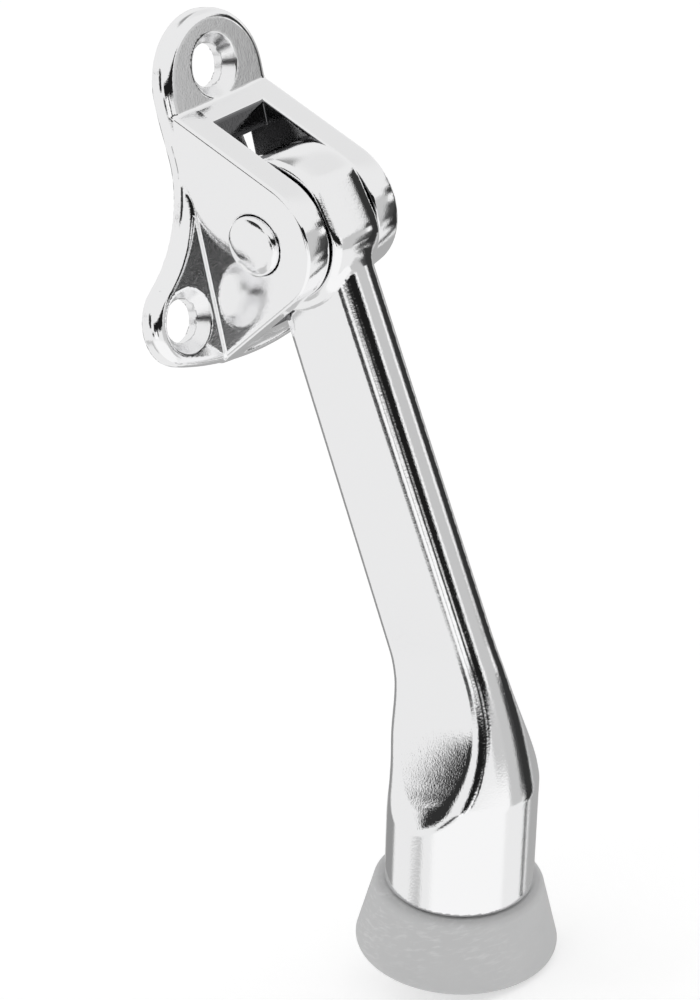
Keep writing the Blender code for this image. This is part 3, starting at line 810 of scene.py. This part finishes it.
def make_camera():
    """A long lens, turned about its own axis."""
    data = bpy.data.cameras.new("camera")
    camera = bpy.data.objects.new("camera", data)
    bpy.context.scene.collection.objects.link(camera)
    flat = math.cos(CAMERA_ELEVATION)
    back = Vector((
        math.sin(CAMERA_AZIMUTH) * flat, -math.cos(CAMERA_AZIMUTH) * flat, math.sin(CAMERA_ELEVATION)
    ))
    turn = (-back).to_track_quat("-Z", "Y").to_matrix().to_4x4()
    place = Matrix.Translation((Vector(CAMERA_TARGET) + back * CAMERA_DISTANCE) * MM)
    camera.matrix_world = place @ turn @ Matrix.Rotation(CAMERA_ROLL, 4, "Z")
    data.lens = CAMERA_LENS
    data.clip_start = 0.01
    bpy.context.scene.camera = camera


def make_floor():
    """The floor lies just under the rubber tip, and the chrome doesn't show it."""
    lowest = CAD_BOUNDS[0][2]
    bpy.ops.mesh.primitive_plane_add(size=20, location=(0, 0, lowest - FLOOR_GAP * MM))
    floor = bpy.context.active_object
    floor.name = "floor"
    floor.data.materials.append(pale_floor_material())
    floor.visible_glossy = False


def math_node(nodes, links, operation, first, second=None):
    node = nodes.new("ShaderNodeMath")
    node.operation = operation
    for socket, value in zip(node.inputs, (first, second)):
        if isinstance(value, (int, float)):
            socket.default_value = value
        elif value is not None:
            links.new(value, socket)
    return node.outputs["Value"]


def fade(nodes, links, value, start, end):
    """0 before the start, 1 past the end, smooth between. It falls instead when the end comes first."""
    node = nodes.new("ShaderNodeMapRange")
    node.interpolation_type = "SMOOTHSTEP"
    low, high = min(start, end), max(start, end)
    node.inputs["From Min"].default_value = low
    node.inputs["From Max"].default_value = high
    node.inputs["To Min"].default_value = 0 if start < end else 1
    node.inputs["To Max"].default_value = 1 if start < end else 0
    links.new(value, node.inputs["Value"])
    return node.outputs["Result"]


def card_mask(nodes, links, azimuth, elevation, card):
    """1 on the card, 0 off it, for every direction round the object."""
    left, right, bottom, top, soft = card
    sides = math_node(
        nodes, links, "MULTIPLY",
        fade(nodes, links, azimuth, left - soft, left + soft),
        fade(nodes, links, azimuth, right + soft, right - soft),
    )
    ends = math_node(
        nodes, links, "MULTIPLY",
        fade(nodes, links, elevation, bottom - soft, bottom + soft),
        fade(nodes, links, elevation, top + soft, top - soft),
    )
    return math_node(nodes, links, "MULTIPLY", sides, ends)


def make_world():
    """A white studio with light and dark cards round the object, all that the chrome has to reflect."""
    world = bpy.data.worlds.new("studio")
    bpy.context.scene.world = world
    world.use_nodes = True
    nodes, links = world.node_tree.nodes, world.node_tree.links
    direction = nodes.new("ShaderNodeTexCoord").outputs["Generated"]
    sideways, behind, height = separated(nodes, links, direction)
    ahead = math_node(nodes, links, "MULTIPLY", behind, -1.0)
    azimuth = math_node(nodes, links, "DEGREES", math_node(nodes, links, "ARCTAN2", sideways, ahead))
    elevation = math_node(nodes, links, "DEGREES", math_node(nodes, links, "ARCSINE", height))
    level = STUDIO_LEVEL
    for brightness, *card in STUDIO_CARDS:
        mask = card_mask(nodes, links, azimuth, elevation, card)
        blend = nodes.new("ShaderNodeMix")
        links.new(mask, blend.inputs["Factor"])
        if isinstance(level, float):
            blend.inputs[2].default_value = level
        else:
            links.new(level, blend.inputs[2])
        blend.inputs[3].default_value = brightness
        level = blend.outputs[0]
    background = nodes["Background"]
    links.new(level, background.inputs["Strength"])
    background.inputs["Color"].default_value = (1, 1, 1, 1)


def main():
    scene = bpy.context.scene
    scene.view_settings.view_transform = "Standard"
    make_camera()
    make_world()
    make_floor()
    plate = bracket_material()
    arm_plate = lever_material()
    chrome = chrome_material("chrome_plate")
    steel = steel_material()
    rubber = rubber_material()
    casting = mesh_of_field("chrome_bracket", bracket, *box_mm("bracket"), BRACKET_STEP)
    arm = mesh_of_field("chrome_lever", lever, *box_mm("lever"), LEVER_STEP)
    leaf = mesh_of_field("spring_strip", spring, *box_mm("detent_spring"), SPRING_STEP)
    pin = make_pin()
    tip = make_tip()
    pieces = (
        (casting, "bracket", "bracket", "chrome", plate),
        (arm, "lever", "lever", "chrome", arm_plate),
        (pin, "pivot_pin", "bracket", "chrome", chrome),
        (leaf, "detent_spring", "bracket", "spring_steel", steel),
        (tip, "rubber_tip", "lever", "rubber", rubber),
    )
    for piece, node, body, slot_name, material in pieces:
        piece.data.materials.append(material)
        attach(piece, body)
        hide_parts(node)


main()
bpy.context.view_layer.update()
